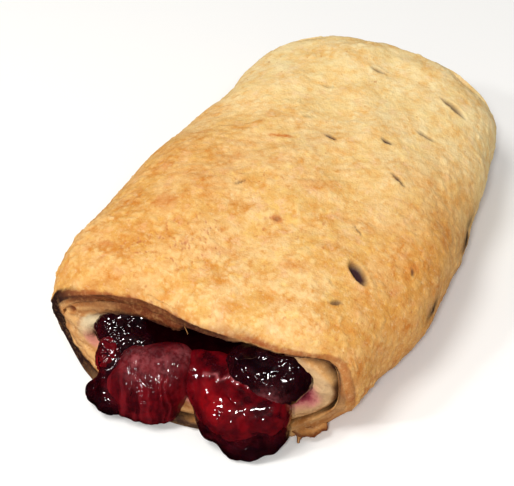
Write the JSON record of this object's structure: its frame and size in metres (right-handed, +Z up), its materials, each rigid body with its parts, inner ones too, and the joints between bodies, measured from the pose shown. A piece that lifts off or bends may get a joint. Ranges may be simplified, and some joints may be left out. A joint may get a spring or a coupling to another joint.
{
  "type": "cherry sweet roll",
  "caption": "Baked pastry sheet rolled flat round a cherry filling that runs through it and swells out of the open mouth.",
  "frame": {"origin": "on the flat underside, below the middle of the roll", "axes": "+Y along the roll from its open mouth to the far end, +Z up, +X across"},
  "size_m": [0.0769, 0.1206, 0.0302],
  "materials": {
    "crust": "baked golden brown pastry, mottled, dull with a faint sheen",
    "syrup": "dark red cherry syrup, wet",
    "red_cherry": "cooked red cherry, wet and slightly see-through",
    "dark_cherry": "dark cooked cherry skin, wet and wrinkled"
  },
  "bodies": {
    "root": {"dough_wrap": "crust", "cherry_filling": "syrup", "cherry_left": "red_cherry", "cherry_left_bit": "red_cherry", "cherry_right": "red_cherry", "cherry_far_right": "red_cherry", "cherry_left_lobe": "dark_cherry", "cherry_left_back": "dark_cherry", "cherry_right_low": "dark_cherry", "cherry_right_dark": "dark_cherry", "cherry_far_left": "dark_cherry"}
  },
  "joints": []
}
